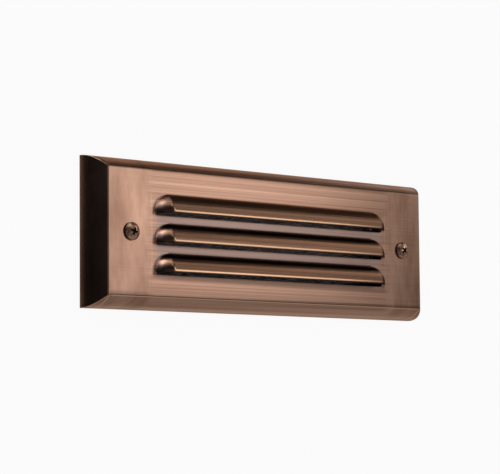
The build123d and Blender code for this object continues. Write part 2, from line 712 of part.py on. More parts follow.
with BuildPart() as bracket_screws:
    for x, z in BRACKET_SCREWS:
        with Locations((x, FOOT_FRONT, z)):
            add(small_screw())
bracket_screws.part.label = "bracket_screws"
export_step(bracket_screws.part, "parts/bracket_screws.step")

# ---- two-pole terminal block --------------------------------------------------------------
TERMINAL_FRONT = TERMINAL_BACK - TERMINAL_DEEP
WEB_FRONT = 50.0
POLES = [-TERMINAL_POLE_Z, TERMINAL_POLE_Z]
CLAMP_SCREWS = [(x, z) for x in CLAMP_SCREW_XS for z in POLES]

with BuildPart() as terminal_block:
    with BuildSketch(across(TERMINAL_START)):
        with Locations(*[(TERMINAL_BACK - TERMINAL_DEEP / 2, z) for z in POLES]):
            RectangleRounded(TERMINAL_DEEP, POLE_WIDE, 2)
        with Locations(((WEB_FRONT + TERMINAL_BACK) / 2, 0)):
            Rectangle(TERMINAL_BACK - WEB_FRONT, 2 * TERMINAL_POLE_Z)
        with Locations(*[(TERMINAL_AXIS, z) for z in POLES]):
            Circle(CLAMP_R, mode=Mode.SUBTRACT)
    extrude(amount=TERMINAL_END - TERMINAL_START)
    screw_wells = TERMINAL_AXIS - TERMINAL_FRONT - CLAMP_R / 2
    rounds(CLAMP_SCREWS, CLAMP_SCREW_R + 0.4, TERMINAL_FRONT, screw_wells, Mode.SUBTRACT)
    head_well = WEB_FRONT - TERMINAL_FRONT
    rounds([(TERMINAL_MID, 0)], SMALL_HEAD_R + 0.3, TERMINAL_FRONT, head_well, Mode.SUBTRACT)
    rounds([(TERMINAL_MID, 0)], SMALL_CLEAR_R, WEB_FRONT, TERMINAL_BACK - WEB_FRONT, Mode.SUBTRACT)
terminal_block.part.label = "terminal_block"
export_step(terminal_block.part, "parts/terminal_block.step")

with BuildPart() as terminal_clamps:
    with BuildSketch(across(TERMINAL_START + 2)):
        with Locations(*[(TERMINAL_AXIS, z) for z in POLES]):
            Circle(CLAMP_R)
            Circle(CLAMP_BORE_R, mode=Mode.SUBTRACT)
    extrude(amount=TERMINAL_END - TERMINAL_START - 4)
    rounds(CLAMP_SCREWS, CLAMP_SCREW_R + 0.05, TERMINAL_AXIS - CLAMP_R, CLAMP_R, Mode.SUBTRACT)
terminal_clamps.part.label = "terminal_clamps"
export_step(terminal_clamps.part, "parts/terminal_clamps.step")

with BuildPart() as terminal_screws:
    screw_tip = TERMINAL_AXIS - WIRE_R - 0.05
    rounds(CLAMP_SCREWS, CLAMP_SCREW_R, screw_tip - CLAMP_SCREW_LENGTH, CLAMP_SCREW_LENGTH)
terminal_screws.part.label = "terminal_screws"
export_step(terminal_screws.part, "parts/terminal_screws.step")

with BuildPart() as terminal_fixing_screw:
    with Locations((TERMINAL_MID, WEB_FRONT, 0)):
        add(small_screw(TERMINAL_SCREW_LENGTH))
terminal_fixing_screw.part.label = "terminal_fixing_screw"
export_step(terminal_fixing_screw.part, "parts/terminal_fixing_screw.step")

# ---- internal leads: from the holder's contacts, through the reflector's slot, to the clamps
LEAD_START = CONTACT_END + 0.1
LEAD_TURN_XS = (33.5, 46.0)
LEAD_TURN_ZS = (0.5, 5.8)
LEAD_BENDS = (5.6, 4.4)
INSULATION_END = TERMINAL_START + 3
LEAD_END = 55.0

for name, depth, side in (
    ("lead_red", LAMP_DEPTH - CONTACT_OFF, 1),
    ("lead_black", LAMP_DEPTH + CONTACT_OFF, -1),
):
    with BuildPart() as lead:
        with BuildLine() as route:
            FilletPolyline(
                (LEAD_START, depth, 0),
                (LEAD_TURN_XS[0], depth, side * LEAD_TURN_ZS[0]),
                (LEAD_TURN_XS[1], TERMINAL_AXIS, side * LEAD_TURN_ZS[1]),
                (INSULATION_END, TERMINAL_AXIS, side * TERMINAL_POLE_Z),
                radius=LEAD_BENDS,
            )
        with BuildSketch(Plane(origin=route.line @ 0, z_dir=route.line % 0)):
            Circle(LEAD_R)
        sweep()
        with BuildSketch(Plane(origin=route.line @ 1, z_dir=route.line % 1)):
            Circle(WIRE_R)
        extrude(amount=LEAD_END - INSULATION_END)
    print(name, "length", round(sum(edge.length for edge in route.edges()), 1))
    lead.part.label = name
    export_step(lead.part, "parts/" + name + ".step")

# ---- cable gland in the rear wall ---------------------------------------------------------
GLAND_FRONT = REAR_WALL - GLAND_INSIDE
GLAND_FLANGE = BOX_BACK + GLAND_WASHER_THICK
GLAND_FLANGE_END = GLAND_FLANGE + 5
SEAL_START = GLAND_FLANGE_END + 1
BARREL_END = SEAL_START + 8
SEAL_END = BARREL_END + 1
CLAW_END = SEAL_END + 2
NUT_START = GLAND_FLANGE_END + 1.5
NUT_END = CLAW_END + 3

with BuildPart() as gland_washer:
    with BuildSketch(at_depth(BOX_BACK)):
        with Locations((GLAND_X, 0)):
            Circle(GLAND_WASHER_R)
            Circle(GLAND_THREAD_R + 0.1, mode=Mode.SUBTRACT)
    extrude(amount=-GLAND_WASHER_THICK)
gland_washer.part.label = "gland_washer"
export_step(gland_washer.part, "parts/gland_washer.step")

with BuildPart() as gland_body:
    rounds([(GLAND_X, 0)], GLAND_THREAD_R, GLAND_FRONT, GLAND_FLANGE - GLAND_FRONT)
    with BuildSketch(at_depth(GLAND_FLANGE)):
        with Locations((GLAND_X, 0)):
            RegularPolygon(GLAND_HEX / 2, 6, major_radius=False)
    extrude(amount=GLAND_FLANGE - GLAND_FLANGE_END)
    rounds([(GLAND_X, 0)], GLAND_BARREL_R, GLAND_FLANGE_END, BARREL_END - GLAND_FLANGE_END)
    rounds([(GLAND_X, 0)], GLAND_BORE_R, GLAND_FRONT, BARREL_END - GLAND_FRONT, Mode.SUBTRACT)
    rounds([(GLAND_X, 0)], SEAL_R, SEAL_START, BARREL_END - SEAL_START, Mode.SUBTRACT)
gland_body.part.label = "gland_body"
export_step(gland_body.part, "parts/gland_body.step")

with BuildPart() as gland_lock_nut:
    with BuildSketch(at_depth(REAR_WALL)):
        with Locations((GLAND_X, 0)):
            RegularPolygon(GLAND_HEX / 2, 6, major_radius=False)
            Circle(GLAND_THREAD_R + 0.05, mode=Mode.SUBTRACT)
    extrude(amount=4)
gland_lock_nut.part.label = "gland_lock_nut"
export_step(gland_lock_nut.part, "parts/gland_lock_nut.step")

with BuildPart() as gland_seal:
    with BuildSketch(at_depth(SEAL_START)):
        with Locations((GLAND_X, 0)):
            Circle(SEAL_R)
            Circle(SEAL_BORE_R, mode=Mode.SUBTRACT)
    extrude(amount=SEAL_START - SEAL_END)
gland_seal.part.label = "gland_seal"
export_step(gland_seal.part, "parts/gland_seal.step")

with BuildPart() as gland_claw_ring:
    with BuildSketch(at_depth(SEAL_END)):
        with Locations((GLAND_X, 0)):
            Circle(SEAL_R)
            Circle(SEAL_BORE_R + 0.6, mode=Mode.SUBTRACT)
    extrude(amount=SEAL_END - CLAW_END)
gland_claw_ring.part.label = "gland_claw_ring"
export_step(gland_claw_ring.part, "parts/gland_claw_ring.step")

with BuildPart() as gland_nut:
    with BuildSketch(at_depth(NUT_START)):
        with Locations((GLAND_X, 0)):
            RegularPolygon(GLAND_HEX / 2, 6, major_radius=False)
    extrude(amount=NUT_START - CLAW_END)
    with BuildSketch(at_depth(CLAW_END)):
        with Locations((GLAND_X, 0)):
            Circle(GLAND_HEX / 2 - 0.4)
    extrude(amount=CLAW_END - NUT_END, taper=GLAND_NUT_TAPER)
    rounds([(GLAND_X, 0)], GLAND_BARREL_R + 0.05, NUT_START, CLAW_END - NUT_START, Mode.SUBTRACT)
    rounds([(GLAND_X, 0)], SEAL_BORE_R + 0.9, CLAW_END, NUT_END - CLAW_END, Mode.SUBTRACT)
gland_nut.part.label = "gland_nut"
export_step(gland_nut.part, "parts/gland_nut.step")
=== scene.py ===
"""Looks of the step light: louvred copper cover, recess box, lamp and cable gland. Metres."""

import json
import math

import bmesh
import bpy
from mathutils import Matrix, Vector


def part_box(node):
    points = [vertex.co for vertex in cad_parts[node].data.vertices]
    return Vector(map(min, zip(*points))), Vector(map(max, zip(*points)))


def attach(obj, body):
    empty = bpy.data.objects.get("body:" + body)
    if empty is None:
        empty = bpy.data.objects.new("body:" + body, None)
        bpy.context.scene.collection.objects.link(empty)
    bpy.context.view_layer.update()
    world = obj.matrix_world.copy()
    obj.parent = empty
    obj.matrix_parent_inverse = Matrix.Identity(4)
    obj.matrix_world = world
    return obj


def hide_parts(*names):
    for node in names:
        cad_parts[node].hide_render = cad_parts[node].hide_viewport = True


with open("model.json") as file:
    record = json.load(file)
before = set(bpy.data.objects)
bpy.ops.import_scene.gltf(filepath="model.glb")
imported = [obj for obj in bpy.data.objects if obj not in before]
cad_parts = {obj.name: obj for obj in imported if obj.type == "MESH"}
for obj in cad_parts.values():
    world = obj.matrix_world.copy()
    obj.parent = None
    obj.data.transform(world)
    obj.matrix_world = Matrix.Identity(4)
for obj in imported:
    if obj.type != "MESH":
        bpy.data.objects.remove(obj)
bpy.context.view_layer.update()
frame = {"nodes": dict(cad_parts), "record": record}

# ---- camera, fitted to the cover's corners in the 500 x 474 photograph -----------------------
CAMERA_YAW = math.radians(42.38)
CAMERA_PITCH = math.radians(5.126)
CAMERA_ROLL = math.radians(-0.499)
CAMERA_PLACE = Vector((-0.7743, -0.8452, -0.0993))
CAMERA_LENS = 155.5
CAMERA_SENSOR = 36.0
CAMERA_NEAREST = 0.01


def make_camera():
    data = bpy.data.cameras.new("camera")
    data.lens = CAMERA_LENS
    data.sensor_width = CAMERA_SENSOR
    data.clip_start = CAMERA_NEAREST
    camera = bpy.data.objects.new("camera", data)
    turn = (
        Matrix.Rotation(-CAMERA_YAW, 4, "Z")
        @ Matrix.Rotation(math.radians(90) + CAMERA_PITCH, 4, "X")
        @ Matrix.Rotation(CAMERA_ROLL, 4, "Z")
    )
    camera.matrix_world = Matrix.Translation(CAMERA_PLACE) @ turn
    bpy.context.scene.collection.objects.link(camera)
    bpy.context.scene.camera = camera


# ---- node helpers ----------------------------------------------------------------------------
BEVEL_SAMPLES = 6
# how far a rounded normal agrees with the true one, on a sharp edge and off it
SHARP_EDGE = (0.80, 0.97)


def rgb(red, green, blue):
    return (red, green, blue, 1.0)


def span(place, start, end):
    """The two places at these distances from a place."""
    return (place + start, place + end)


class Nodes:
    """A material's node tree, with short calls for the nodes used here."""

    def __init__(self, name):
        self.material = bpy.data.materials.new(name)
        self.material.use_nodes = True
        self.tree = self.material.node_tree
        self.shader = self.tree.nodes["Principled BSDF"]
        self.surface = self.tree.nodes["Material Output"].inputs["Surface"]
        self.place = self.add("ShaderNodeTexCoord").outputs["Object"]

    def add(self, kind, **settings):
        node = self.tree.nodes.new(kind)
        for key, value in settings.items():
            setattr(node, key, value)
        return node

    def link(self, source, target):
        """Joins a socket to an input, or sets the input to a plain value."""
        if hasattr(source, "is_output"):
            self.tree.links.new(source, target)
        else:
            target.default_value = source

    def math(self, operation, *values):
        node = self.add("ShaderNodeMath", operation=operation)
        for value, socket in zip(values, node.inputs):
            self.link(value, socket)
        return node.outputs[0]

    def times(self, first, *others):
        """The product of these sockets and numbers."""
        for other in others:
            first = self.math("MULTIPLY", first, other)
        return first

    def most(self, first, *others):
        """The largest of these sockets and numbers."""
        for other in others:
            first = self.math("MAXIMUM", first, other)
        return first

    def ramp(self, value, limits, results):
        """A value mapped smoothly from one range to another, and clamped."""
        node = self.add("ShaderNodeMapRange", interpolation_type="SMOOTHSTEP")
        for socket, number in zip(node.inputs[1:5], (*limits, *results)):
            socket.default_value = number
        self.link(value, node.inputs[0])
        return node.outputs[0]

    def rise(self, value, limits, top=1.0):
        """0 up to the first limit, and top from the second on."""
        return self.ramp(value, limits, (0.0, top))

    def fall(self, value, limits, top=1.0):
        """top up to the first limit, and 0 from the second on."""
        return self.ramp(value, limits, (top, 0.0))

    def near(self, value, place, limits, top=1.0):
        """top closer to a place than the first limit, and 0 beyond the second."""
        return self.fall(self.math("ABSOLUTE", self.math("SUBTRACT", value, place)), limits, top)

    def noise(self, scale, detail=3.0, rough=0.5):
        """Noise from 0 to 1 over the object, with a scale for each axis in features per metre."""
        scaled = self.add("ShaderNodeMapping")
        scaled.inputs["Scale"].default_value = scale
        self.link(self.place, scaled.inputs["Vector"])
        node = self.add("ShaderNodeTexNoise")
        node.inputs["Scale"].default_value = 1.0
        node.inputs["Detail"].default_value = detail
        node.inputs["Roughness"].default_value = rough
        self.link(scaled.outputs[0], node.inputs["Vector"])
        return node.outputs["Fac"]

    def mix(self, share, first, second):
        """A colour between two colours, each a socket or a plain one."""
        node = self.add("ShaderNodeMix", data_type="RGBA")
        # the node's colour sockets come after those for numbers and vectors
        self.link(share, node.inputs[0])
        self.link(first, node.inputs[6])
        self.link(second, node.inputs[7])
        return node.outputs[2]

    def blend(self, share, first, second):
        """A number between two numbers, each a socket or a plain one."""
        node = self.add("ShaderNodeMix", data_type="FLOAT")
        self.link(share, node.inputs[0])
        self.link(first, node.inputs[2])
        self.link(second, node.inputs[3])
        return node.outputs[0]

    def axes(self, vector):
        """The x, y and z of a vector."""
        node = self.add("ShaderNodeSeparateXYZ")
        self.link(vector, node.inputs[0])
        return node.outputs

    def geometry(self, output):
        return self.add("ShaderNodeNewGeometry").outputs[output]

    def edges(self, radius):
        """Normals rounded at sharp edges by radius, and how far each point is on such an edge."""
        rounded = self.add("ShaderNodeBevel", samples=BEVEL_SAMPLES)
        rounded.inputs["Radius"].default_value = radius
        across = self.add("ShaderNodeVectorMath", operation="DOT_PRODUCT")
        self.link(rounded.outputs[0], across.inputs[0])
        self.link(self.geometry("Normal"), across.inputs[1])
        return rounded.outputs[0], self.fall(across.outputs["Value"], SHARP_EDGE)

    def bump(self, height, distance, strength, normal=None):
        node = self.add("ShaderNodeBump")
        node.inputs["Distance"].default_value = distance
        node.inputs["Strength"].default_value = strength
        self.link(height, node.inputs["Height"])
        if normal is not None:
            self.link(normal, node.inputs["Normal"])
        return node.outputs[0]

    def glow(self, level=1.0, tint=(1, 1, 1)):
        """Light given off evenly, of a strength and a colour."""
        node = self.add("ShaderNodeEmission")
        node.inputs["Strength"].default_value = level
        node.inputs["Color"].default_value = rgb(*tint)
        return node.outputs[0]

    def shaders(self, share, first, second):
        """A shader between two shaders."""
        node = self.add("ShaderNodeMixShader")
        for source, socket in zip((share, first, second), node.inputs):
            self.link(source, socket)
        return node.outputs[0]

    def set(self, **values):
        """Sets the main shader's inputs, by name with _ for a space."""
        for key, value in values.items():
            self.link(value, self.shader.inputs[key.replace("_", " ")])


# ---- cover: where a point lies ---------------------------------------------------------------
# A level is a height on a hood: 0 at its lip, 1 at its top, and on to the next hood's lip.
# A pair gives a mask's limits, as places in metres or as levels, or its results at them.
FACE_Y = -0.0155
FACE_LOW = -0.0318
FACE_HALF = 0.1112
HOODS = 3
HOOD_LOW = -0.0198
HOOD_PITCH = 0.015
HOOD_TALL = 0.0098
HOOD_HALF = 0.0823
HOOD_SHOULDER = 0.010
TOP_LIP = HOOD_LOW + (HOODS - 1) * HOOD_PITCH
HOODS_TOP = TOP_LIP + HOOD_TALL
DIE_MARK_X = 0.0838

ROWS_FROM = span(HOOD_LOW, -0.0032, -0.0008)
ROWS_TO = span(HOODS_TOP, -0.0006, 0.0002)
ROWS_END = (0.0815, DIE_MARK_X)
ON_FACE = span(FACE_Y, -0.0014, -0.0002)
OFF_FACE = span(FACE_Y, -0.0014, -0.0004)
STRIPS_END = (0.0770, DIE_MARK_X)
STRIPS_TO = span(TOP_LIP, -0.0010, 0.0040)
TOP_HOOD = span(TOP_LIP, 0.0, 0.0010)
END_PANEL = (0.081, 0.089)


class CoverZones:
    """Sockets that tell where a point of the cover lies: its place, level and masks from 0 to 1."""

    def __init__(self, n):
        self.x, self.y, self.z = n.axes(n.place)
        self.side = n.math("ABSOLUTE", self.x)
        above_low = n.math("SUBTRACT", self.z, HOOD_LOW)
        self.level = n.math("DIVIDE", n.math("MODULO", above_low, HOOD_PITCH), HOOD_TALL)
        # how far out it is beyond its hood's rounded end
        rounding = n.most(n.math("SUBTRACT", 1.0, n.math("POWER", self.level, 2.0)), 0.0)
        shoulder = n.times(n.math("SQRT", rounding), HOOD_SHOULDER)
        hood_end = n.math("ADD", HOOD_HALF - HOOD_SHOULDER, shoulder)
        self.outside = n.math("SUBTRACT", self.side, hood_end)
        # the band of rows that holds the hoods, and the flat panels beyond its ends
        self.rows = n.times(n.rise(self.z, ROWS_FROM), n.fall(self.z, ROWS_TO))
        self.between_ends = n.fall(self.side, ROWS_END)
        self.end_panel = n.rise(self.side, END_PANEL)
        # the flat face, the hoods that stand out of it, and the one on top
        self.face = n.rise(self.y, ON_FACE)
        self.hood = n.times(n.fall(self.y, OFF_FACE), self.rows)
        self.top_hood = n.rise(self.z, TOP_HOOD)
        # the face's strips below the hoods
        strips = n.times(self.rows, n.fall(self.side, STRIPS_END), self.face)
        self.strips = n.times(strips, n.fall(self.z, STRIPS_TO))


# ---- cover: brush lines ----------------------------------------------------------------------
STREAKS = (5.0, 300.0, 2300.0)
BANDS = (2.0, 60.0, 420.0)
CROSS_LINES = (2600.0, 300.0, 30.0)
SMEARS = (75.0, 30.0, 26.0)
CROSS_SHARE = 0.5
PANEL_X = (-0.08, 0.08)
PANEL_FADE = (0.75, 0.40)
NOISE_MIDDLE = 0.5
LINES_SHARE = 0.5
TONE_SPREAD = (0.33, 0.67)


def brush_lines(n, zones):
    """The brush lines, along the light and across its end panels, and the metal's tone with them."""
    streaks = n.noise(STREAKS, detail=4.0, rough=0.62)
    bands = n.noise(BANDS, detail=3.0)
    cross = n.noise(CROSS_LINES, detail=3.0, rough=0.6)
    smears = n.noise(SMEARS, detail=4.0, rough=0.55)
    lines = n.blend(n.times(zones.end_panel, CROSS_SHARE), streaks, cross)
    # they fade on the end panels, most on the left one
    fade = n.times(zones.end_panel, n.ramp(zones.x, PANEL_X, PANEL_FADE))
    lines = n.blend(fade, lines, NOISE_MIDDLE)
    broad = n.blend(zones.end_panel, bands, smears)
    tone = n.math("ADD", n.times(lines, LINES_SHARE), n.times(broad, 1.0 - LINES_SHARE))
    return lines, n.rise(tone, TONE_SPREAD)


# ---- cover: patina and painted shade ---------------------------------------------------------
SPECKS = (2600.0, 2600.0, 2600.0)
SPECKS_SPREAD = (0.36, 0.62)
SPECKS_RANGE = (0.25, 1.0)
BESIDE_REACH = (0.0002, 0.0023)
BESIDE_TO = (1.0, 1.12)
UNDER_X_FROM = (0.0715, 0.0735)
UNDER_X_TO = span(HOOD_HALF, 0.0, 0.0020)
UNDER_FROM = (1.38, 1.50)
HALO = 0.8
TOP_SHADE_FROM = (0.52, 0.84)
TOP_SHADE_TO = (1.0, 1.10)
TOP_SHADE_REACH = (0.0, 0.0006)
TOP_HOOD_SHADE = 0.5
LIP_SHADE_FROM = (1.25, 1.50)
LIP_SHADE = 0.35
LOW_SHADE_FROM = span(HOOD_LOW, -0.0055, -0.0004)
LOW_SHADE_TO = span(HOOD_LOW, 0.0, 0.0002)
LOW_SHADE_END = (0.070, 0.084)
LOW_SHADE = 0.5
EDGE_SHADE_TO = span(FACE_LOW, 0.0, 0.0030)
EDGE_SHADE = 0.5
END_SHADE_FROM = span(FACE_HALF, 0.0, 0.0008)
END_SHADE = 0.62
FAR_SHADE_FROM = (0.030, 0.085)
FAR_SHADE = 0.16
BORDER_SHADE_TO = span(FACE_LOW, -0.0006, 0.0)
BORDER_SHADE_X = (-0.112, 0.0)
BORDER_SHADE = 0.52


def cover_patina_and_shade(n, zones):
    """How dark the patina and the painted shade are, from 0 to 1."""
    x, z, side, level = zones.x, zones.z, zones.side, zones.level
    # specks beside the hoods' ends and under them
    beside = n.times(n.fall(zones.outside, BESIDE_REACH), n.fall(level, BESIDE_TO))
    under = n.times(n.rise(side, UNDER_X_FROM), n.fall(side, UNDER_X_TO), n.rise(level, UNDER_FROM))
    specks = n.ramp(n.noise(SPECKS, detail=2.0), SPECKS_SPREAD, SPECKS_RANGE)
    halo = n.times(n.most(beside, under), zones.rows, specks, zones.face, HALO)
    # painted shade along each hood's top where it meets the face, as if cast by the hood above, half as
    # much on the top hood
    top_shade = n.times(n.rise(level, TOP_SHADE_FROM), n.fall(level, TOP_SHADE_TO))
    top_shade = n.times(top_shade, n.fall(zones.outside, TOP_SHADE_REACH), zones.rows, zones.between_ends)
    top_shade = n.times(top_shade, n.blend(zones.top_hood, 1.0, TOP_HOOD_SHADE))
    # painted shade under each lip, a deeper one under the lowest, and one along the face's lower edge
    lip_shade = n.times(n.rise(level, LIP_SHADE_FROM, LIP_SHADE), zones.strips, zones.between_ends)
    low_shade = n.times(n.rise(z, LOW_SHADE_FROM, LOW_SHADE), n.fall(z, LOW_SHADE_TO))
    low_shade = n.times(low_shade, n.fall(side, LOW_SHADE_END))
    edge_shade = n.times(n.fall(z, EDGE_SHADE_TO, EDGE_SHADE), zones.face)
    # painted shade on the end borders, towards the right end, and on the lower border's left half
    end_shade = n.rise(side, END_SHADE_FROM, END_SHADE)
    far_shade = n.rise(x, FAR_SHADE_FROM, FAR_SHADE)
    border_shade = n.times(n.fall(z, BORDER_SHADE_TO), n.fall(x, BORDER_SHADE_X, BORDER_SHADE))
    shades = (lip_shade, low_shade, edge_shade, end_shade, far_shade, border_shade)
    return n.most(halo, top_shade, *shades)


# ---- cover: painted highlights and painted shade on the edges --------------------------------
LIP_LINE_FROM = (0.06, 0.085)
LIP_LINE_TO = (0.12, 0.165)
LIP_LINE_END = (0.0735, 0.0742)
LIP_LINE_X = (0.045, 0.078)
LIP_LINE_FADE = (1.0, 0.35)
LIP_LINE = 0.8
CREASE_X = 0.0731
CREASE_LEAN = 0.0062
CREASE_REACH = (0.00015, 0.0005)
CREASE_FROM = (0.06, 0.09)
CREASE_TO = (0.3, 0.5)
CREASE_X_TO = (0.0, 0.05)
FOLD_REACH = (0.0001, 0.0004)
LOW_FOLD_Z = FACE_LOW - 0.0004
LOW_FOLD_END = span(FACE_HALF, -0.0020, 0.0)
LOW_FOLD = 0.45
SIDE_FOLD_X = FACE_HALF - 0.0002
SIDE_FOLD = 0.4
CUT_EDGE_SHADE_TO = (0.045, 0.07)
HOOD_END_SHADE_FROM = (0.0745, 0.0765)
HOOD_END_SHADE_TO = (0.30, 0.60)
HOOD_END_SHADE = 0.72


def painted_highlight_lines(n, zones):
    """How bright the painted highlight lines are: on the hoods' lips and left ends, and on the border's
    inner fold.
    """
    x, side, level = zones.x, zones.side, zones.level
    lip = n.times(n.rise(level, LIP_LINE_FROM), n.fall(level, LIP_LINE_TO))
    lip = n.times(lip, n.fall(side, LIP_LINE_END), n.ramp(x, LIP_LINE_X, LIP_LINE_FADE))
    crease = n.math("SUBTRACT", side, n.times(level, CREASE_LEAN))
    crease = n.times(n.near(crease, CREASE_X, CREASE_REACH), n.fall(x, CREASE_X_TO))
    crease = n.times(crease, n.rise(level, CREASE_FROM), n.fall(level, CREASE_TO))
    hood_lines = n.times(n.most(lip, crease), zones.hood, LIP_LINE)
    low_fold = n.times(n.near(zones.z, LOW_FOLD_Z, FOLD_REACH, LOW_FOLD), n.fall(side, LOW_FOLD_END))
    side_fold = n.times(n.near(side, SIDE_FOLD_X, FOLD_REACH, SIDE_FOLD), zones.face)
    return n.most(hood_lines, low_fold, side_fold)


def shaded_hood_edges(n, zones):
    """Painted shade on a hood: how dark it is along its cut edge and low on its ends."""
    cut_edge_shade = n.fall(zones.level, CUT_EDGE_SHADE_TO)
    hood_end = n.times(n.rise(zones.side, HOOD_END_SHADE_FROM), n.fall(zones.level, HOOD_END_SHADE_TO, HOOD_END_SHADE))
    return n.times(n.most(cut_edge_shade, hood_end), zones.hood)


# ---- cover: antique copper -------------------------------------------------------------------
# Pairs of colours are the dark and the light of the brush lines.
BRUSHED = (rgb(0.30, 0.155, 0.10), rgb(0.62, 0.37, 0.265))
GREYER = (rgb(0.40, 0.265, 0.225), rgb(0.55, 0.38, 0.325))
WARMER = (rgb(0.34, 0.16, 0.09), rgb(0.80, 0.445, 0.27))
# painted shade: the darker colours for the hoods' lower parts and for the top hood
DEEPER_SHADE = (rgb(0.13, 0.062, 0.038), rgb(0.34, 0.18, 0.11))
# the colour of the patina and of the painted shade
PATINA_AND_SHADE = rgb(0.03, 0.018, 0.014)
# the colour of worn edges and of the painted highlight lines
WORN_AND_HIGHLIGHT = rgb(0.88, 0.53, 0.32)
DIE_MARK = rgb(0.75, 0.52, 0.42)
DULL_BACK = rgb(0.045, 0.028, 0.022)
COPPER_TINT = rgb(0.80, 0.62, 0.52)
GREYER_SHARE = 0.85
DEEPER_SHADE_TO = (0.30, 0.52)
DEEPER_SHADE_TOP_HOOD = 0.7
DIE_MARK_REACH = (0.00008, 0.0004)
DIE_MARK_SHARE = 0.25
EDGE_RADIUS = 0.0006
EDGE_SHARE = 0.75
FACING_BACK = (0.05, 0.25)
LINES_SPREAD = (0.3, 0.7)
LINES_ROUGH = (0.27, 0.36)
LINES_DEEP = 0.00004
STRIPS_ROUGH = 0.40
BACK_ROUGH = 0.7


def antique_copper():
    """Copper brushed along the light, with patina round the hoods, worn edges, and painted shade and
    painted highlights.
    """
    n = Nodes("antique_copper")
    zones = CoverZones(n)
    lines, tone = brush_lines(n, zones)
    # greyer on the strips, warmer on the hoods, and painted shade low on the hoods and all over the top
    # one
    color = n.mix(n.times(zones.strips, GREYER_SHARE), n.mix(tone, *BRUSHED), n.mix(tone, *GREYER))
    hood_low_shade = n.times(n.fall(zones.level, DEEPER_SHADE_TO), zones.hood)
    deeper_shade = n.most(hood_low_shade, n.times(zones.top_hood, DEEPER_SHADE_TOP_HOOD))
    color = n.mix(zones.hood, color, n.mix(deeper_shade, n.mix(tone, *WARMER), n.mix(tone, *DEEPER_SHADE)))
    # the press leaves a faint line beside the hoods' ends
    die_mark = n.times(n.near(zones.side, DIE_MARK_X, DIE_MARK_REACH), zones.rows)
    color = n.mix(n.times(die_mark, DIE_MARK_SHARE), color, DIE_MARK)
    # the patina and the painted shade, and the wear and the painted highlights over it
    color = n.mix(n.most(cover_patina_and_shade(n, zones), shaded_hood_edges(n, zones)), color, PATINA_AND_SHADE)
    rounded, worn = n.edges(EDGE_RADIUS)
    worn = n.times(worn, n.math("SUBTRACT", 1.0, zones.hood), EDGE_SHARE)
    # worn edges, and the painted highlight lines
    color = n.mix(n.most(worn, painted_highlight_lines(n, zones)), color, WORN_AND_HIGHLIGHT)
    # the sheet's back is dull and dark
    back = n.rise(n.axes(n.geometry("Normal"))[1], FACING_BACK)
    color = n.mix(back, color, DULL_BACK)
    polish = n.blend(zones.strips, n.ramp(lines, LINES_SPREAD, LINES_ROUGH), STRIPS_ROUGH)
    n.set(Base_Color=color, Metallic=1.0, Specular_Tint=COPPER_TINT)
    n.set(Roughness=n.blend(back, polish, BACK_ROUGH))
    n.set(Normal=n.bump(lines, LINES_DEEP, strength=0.6, normal=rounded))
    n.set(Coat_Weight=0.15, Coat_Roughness=0.16)
    return n.material


# ---- cover screws: dark bronze ---------------------------------------------------------------
SCREW_X = 0.097
SCREW_CROWN = -0.0183
SCREW_DOME_R = 0.00655
BRONZE = (rgb(0.50, 0.25, 0.15), rgb(1.0, 0.66, 0.46))
BRONZE_LOW_LEFT_SHADE = rgb(0.075, 0.035, 0.022)
BRONZE_RIM_SHADE = rgb(0.08, 0.045, 0.035)
BRONZE_WORN = rgb(0.85, 0.55, 0.40)
BRONZE_RECESS = rgb(0.006, 0.004, 0.004)
TURNED = (1100.0, 300.0, 1100.0)
TURNED_DEEP = 0.00004
TURNED_SPREAD = (0.36, 0.64)
RECESS_R = 0.0031
RECESS_DEPTH = (0.00005, 0.00014)
RECESS_ROUGH = 0.8
RIM_SHADE_FROM = (0.0040, 0.0045)
RIM_SHADE_SHARE = 0.6
LOW_LEFT_LEAN = 0.6
LOW_LEFT_TO = (-0.0030, 0.0006)
LOW_LEFT_SHARE = 0.92
LOW_LEFT_SPREAD = (0.30, 0.60)
LOW_LEFT_RANGE = (1.0, 0.75)
SCREW_EDGE_RADIUS = 0.0002
SCREW_EDGE_SHARE = 0.35
SCREW_ROUGH = 0.33


